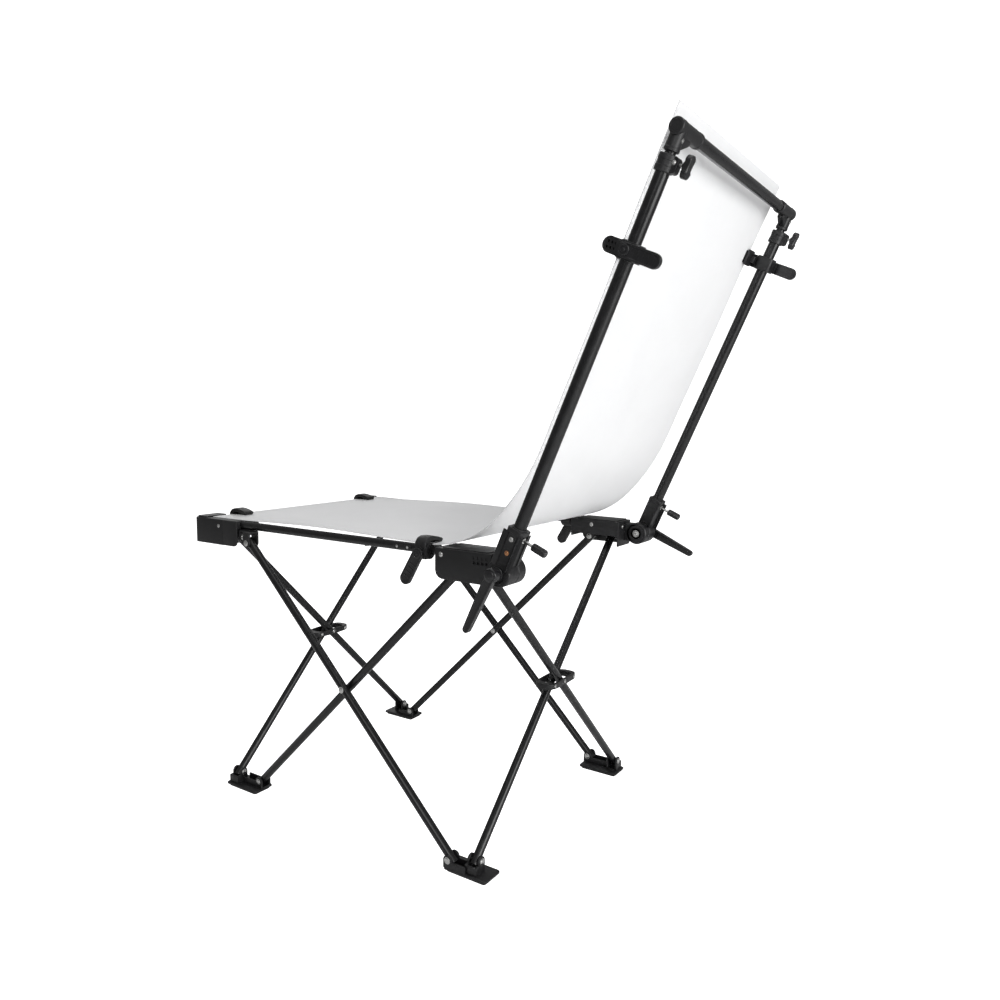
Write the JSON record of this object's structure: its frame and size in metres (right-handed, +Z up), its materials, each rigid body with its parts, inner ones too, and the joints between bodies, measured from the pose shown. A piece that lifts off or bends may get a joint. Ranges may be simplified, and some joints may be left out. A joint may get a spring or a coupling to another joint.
{
  "type": "folding product table",
  "caption": "Folding table with crossed tube legs, hinged rear posts and a top bar, holding a swept white backdrop sheet with clips.",
  "frame": {"origin": "on the floor, midway between the four feet", "axes": "+X right and +Y back, seen by someone who stands in front of the table; +Z up"},
  "size_m": [0.751, 1.2837, 1.4525],
  "materials": {
    "tubes": "gloss",
    "mouldings": "satin",
    "handles": "satin",
    "feet": "matte",
    "fasteners": "satin",
    "sheet": "satin"
  },
  "bodies": {
    "top_frame": {"side_rail_right": "tubes", "side_rail_left": "tubes", "front_bar": "tubes", "front_block_right": "mouldings", "front_block_left": "mouldings", "back_block_right": "mouldings", "back_block_left": "mouldings", "leg_block_back_right": "mouldings", "hinge_bolts": "fasteners", "table_clips": "mouldings", "sheet_table": "sheet"},
    "backrest": {"post_socket_right": "mouldings", "post_socket_left": "mouldings", "post_right": "tubes", "post_left": "tubes", "post_collars": "mouldings", "post_clips": "mouldings", "sheet_bend": "sheet", "sheet_back": "sheet"},
    "head_frame": {"inner_post_right": "tubes", "inner_post_left": "tubes", "corner_brackets": "mouldings", "top_bar": "tubes"},
    "right_inner_leg": {"leg_tube_right_inner": "tubes", "rivets_right_inner": "fasteners"},
    "right_outer_leg": {"leg_tube_right_outer": "tubes", "rivets_right_outer": "fasteners"},
    "left_inner_leg": {"leg_tube_left_inner": "tubes", "rivets_left_inner": "fasteners"},
    "left_outer_leg": {"leg_tube_left_outer": "tubes", "rivets_left_outer": "fasteners"},
    "back_inner_leg": {"leg_tube_back_inner": "tubes", "rivets_back_inner": "fasteners"},
    "back_outer_leg": {"leg_tube_back_outer": "tubes", "rivets_back_outer": "fasteners"},
    "front_inner_leg": {"leg_tube_front_inner": "tubes", "rivets_front_inner": "fasteners"},
    "front_outer_leg": {"leg_tube_front_outer": "tubes", "rivets_front_outer": "fasteners"},
    "back_hub": {"leg_hub_back": "mouldings"},
    "front_hub": {"leg_hub_front": "mouldings"},
    "front_right_block": {"leg_block_front_right": "mouldings"},
    "front_left_block": {"leg_block_front_left": "mouldings"},
    "back_left_block": {"leg_block_back_left": "mouldings"},
    "foot_br": {"foot_back_right": "feet"},
    "foot_fr": {"foot_front_right": "feet"},
    "foot_fl": {"foot_front_left": "feet"},
    "foot_bl": {"foot_back_left": "feet"},
    "lock_right": {"lock_lever_right": "handles"},
    "lock_left": {"lock_lever_left": "handles"},
    "thumb_right": {"thumb_screw_right": "handles"},
    "thumb_left": {"thumb_screw_left": "handles"},
    "wing_right": {"wing_knob_right": "handles"},
    "wing_left": {"wing_knob_left": "handles"},
    "paddle_rail_right": {"clip_lever_rail_right": "handles"},
    "paddle_rail_left": {"clip_lever_rail_left": "handles"},
    "paddle_bar_right": {"clip_lever_bar_right": "handles"},
    "paddle_bar_left": {"clip_lever_bar_left": "handles"},
    "paddle_post_right": {"clip_lever_post_right": "handles"},
    "paddle_post_left": {"clip_lever_post_left": "handles"}
  },
  "joints": [
    {"name": "leg_fold", "type": "hinge", "parent": "top_frame", "child": "right_inner_leg", "pos_m": [0.293, 0.302, 0.63], "axis": [1, 0, 0], "range_deg": [0, 35]},
    {"name": "foot_fr_pivot", "type": "hinge", "parent": "right_inner_leg", "child": "foot_fr", "pos_m": [0.293, -0.302, 0.026], "axis": [1, 0, 0], "range_deg": [-35, 0]},
    {"name": "right_cross", "type": "hinge", "parent": "right_inner_leg", "child": "right_outer_leg", "pos_m": [0.303, 0, 0.328], "axis": [1, 0, 0], "range_deg": [-70, 0]},
    {"name": "foot_br_pivot", "type": "hinge", "parent": "right_outer_leg", "child": "foot_br", "pos_m": [0.313, 0.302, 0.026], "axis": [1, 0, 0], "range_deg": [0, 35]},
    {"name": "front_right_block_pivot", "type": "hinge", "parent": "right_outer_leg", "child": "front_right_block", "pos_m": [0.313, -0.302, 0.63], "axis": [1, 0, 0], "range_deg": [0, 35]},
    {"name": "front_inner_pivot", "type": "hinge", "parent": "front_right_block", "child": "front_inner_leg", "pos_m": [0.302, -0.357, 0.638], "axis": [0, 1, 0], "range_deg": [-35, 0]},
    {"name": "foot_fl_pivot", "type": "hinge", "parent": "front_inner_leg", "child": "foot_fl", "pos_m": [-0.302, -0.357, 0.034], "axis": [0, 1, 0], "range_deg": [0, 35]},
    {"name": "front_hub_pivot", "type": "hinge", "parent": "front_inner_leg", "child": "front_hub", "pos_m": [0, -0.367, 0.336], "axis": [0, 1, 0], "range_deg": [0, 35]},
    {"name": "front_cross", "type": "hinge", "parent": "front_inner_leg", "child": "front_outer_leg", "pos_m": [0, -0.367, 0.336], "axis": [0, 1, 0], "range_deg": [0, 70]},
    {"name": "front_left_block_pivot", "type": "hinge", "parent": "front_outer_leg", "child": "front_left_block", "pos_m": [-0.302, -0.377, 0.638], "axis": [0, 1, 0], "range_deg": [-35, 0]},
    {"name": "back_outer_pivot", "type": "hinge", "parent": "top_frame", "child": "back_outer_leg", "pos_m": [0.302, 0.377, 0.638], "axis": [0, 1, 0], "range_deg": [-35, 0]},
    {"name": "foot_bl_pivot", "type": "hinge", "parent": "back_outer_leg", "child": "foot_bl", "pos_m": [-0.302, 0.377, 0.034], "axis": [0, 1, 0], "range_deg": [0, 35]},
    {"name": "back_hub_pivot", "type": "hinge", "parent": "back_outer_leg", "child": "back_hub", "pos_m": [0, 0.367, 0.336], "axis": [0, 1, 0], "range_deg": [0, 35]},
    {"name": "back_cross", "type": "hinge", "parent": "back_outer_leg", "child": "back_inner_leg", "pos_m": [0, 0.367, 0.336], "axis": [0, 1, 0], "range_deg": [0, 70]},
    {"name": "back_left_block_pivot", "type": "hinge", "parent": "back_inner_leg", "child": "back_left_block", "pos_m": [-0.302, 0.357, 0.638], "axis": [0, 1, 0], "range_deg": [-35, 0]},
    {"name": "left_inner_pivot", "type": "hinge", "parent": "back_left_block", "child": "left_inner_leg", "pos_m": [-0.293, 0.302, 0.63], "axis": [1, 0, 0], "range_deg": [0, 35]},
    {"name": "left_cross", "type": "hinge", "parent": "left_inner_leg", "child": "left_outer_leg", "pos_m": [-0.303, 0, 0.328], "axis": [1, 0, 0], "range_deg": [-70, 0]},
    {"name": "recline", "type": "hinge", "parent": "top_frame", "child": "backrest", "pos_m": [0, 0.43, 0.648], "axis": [1, 0, 0], "range_deg": [-66, 23], "deforming": ["sheet_bend"]},
    {"name": "post_extension", "type": "slide", "parent": "backrest", "child": "head_frame", "axis": [0, 0.3971, 0.9178], "range_m": [0, 0.22]},
    {"name": "lock_lever_right_turn", "type": "hinge", "parent": "top_frame", "child": "lock_right", "pos_m": [0.359, 0.43, 0.648], "axis": [1, 0, 0], "range_deg": [-45, 90]},
    {"name": "lock_lever_left_turn", "type": "hinge", "parent": "top_frame", "child": "lock_left", "pos_m": [-0.359, 0.43, 0.648], "axis": [1, 0, 0], "range_deg": [-90, 45]},
    {"name": "thumb_screw_right_turn", "type": "hinge", "parent": "backrest", "child": "thumb_right", "pos_m": [0.328, 0.46098, 0.71959], "axis": [0, 0.9178, -0.3971], "continuous": true},
    {"name": "wing_knob_right_turn", "type": "hinge", "parent": "backrest", "child": "wing_right", "pos_m": [0.328, 0.73421, 1.351], "axis": [0, 0.9178, -0.3971], "continuous": true},
    {"name": "thumb_screw_left_turn", "type": "hinge", "parent": "backrest", "child": "thumb_left", "pos_m": [-0.328, 0.46098, 0.71959], "axis": [0, 0.9178, -0.3971], "continuous": true},
    {"name": "wing_knob_left_turn", "type": "hinge", "parent": "backrest", "child": "wing_left", "pos_m": [-0.328, 0.73421, 1.351], "axis": [0, 0.9178, -0.3971], "continuous": true},
    {"name": "paddle_rail_right_turn", "type": "hinge", "parent": "top_frame", "child": "paddle_rail_right", "pos_m": [0.323, 0.225, 0.662], "axis": [1, 0, 0], "range_deg": [0, 80]},
    {"name": "paddle_rail_left_turn", "type": "hinge", "parent": "top_frame", "child": "paddle_rail_left", "pos_m": [-0.323, 0.225, 0.662], "axis": [1, 0, 0], "range_deg": [0, 80]},
    {"name": "paddle_bar_right_turn", "type": "hinge", "parent": "top_frame", "child": "paddle_bar_right", "pos_m": [0.228, -0.469, 0.662], "axis": [0, 1, 0], "range_deg": [0, 60]},
    {"name": "paddle_bar_left_turn", "type": "hinge", "parent": "top_frame", "child": "paddle_bar_left", "pos_m": [-0.228, -0.469, 0.662], "axis": [0, -1, 0], "range_deg": [0, 60]},
    {"name": "paddle_post_right_turn", "type": "hinge", "parent": "backrest", "child": "paddle_post_right", "pos_m": [0.345, 0.67544, 1.21517], "axis": [1, 0, 0], "range_deg": [-80, 0]},
    {"name": "paddle_post_left_turn", "type": "hinge", "parent": "backrest", "child": "paddle_post_left", "pos_m": [-0.345, 0.708, 1.29043], "axis": [1, 0, 0], "range_deg": [-80, 0]}
  ],
  "couplings": [
    {"joint": "foot_fr_pivot", "follows": "leg_fold", "ratio": -1},
    {"joint": "right_cross", "follows": "leg_fold", "ratio": -2},
    {"joint": "foot_br_pivot", "follows": "leg_fold", "ratio": 1},
    {"joint": "front_right_block_pivot", "follows": "leg_fold", "ratio": 1},
    {"joint": "front_inner_pivot", "follows": "leg_fold", "ratio": -1},
    {"joint": "foot_fl_pivot", "follows": "leg_fold", "ratio": 1},
    {"joint": "front_hub_pivot", "follows": "leg_fold", "ratio": 1},
    {"joint": "front_cross", "follows": "leg_fold", "ratio": 2},
    {"joint": "front_left_block_pivot", "follows": "leg_fold", "ratio": -1},
    {"joint": "back_outer_pivot", "follows": "leg_fold", "ratio": -1},
    {"joint": "foot_bl_pivot", "follows": "leg_fold", "ratio": 1},
    {"joint": "back_hub_pivot", "follows": "leg_fold", "ratio": 1},
    {"joint": "back_cross", "follows": "leg_fold", "ratio": 2},
    {"joint": "back_left_block_pivot", "follows": "leg_fold", "ratio": -1},
    {"joint": "left_inner_pivot", "follows": "leg_fold", "ratio": 1},
    {"joint": "left_cross", "follows": "leg_fold", "ratio": -2}
  ]
}
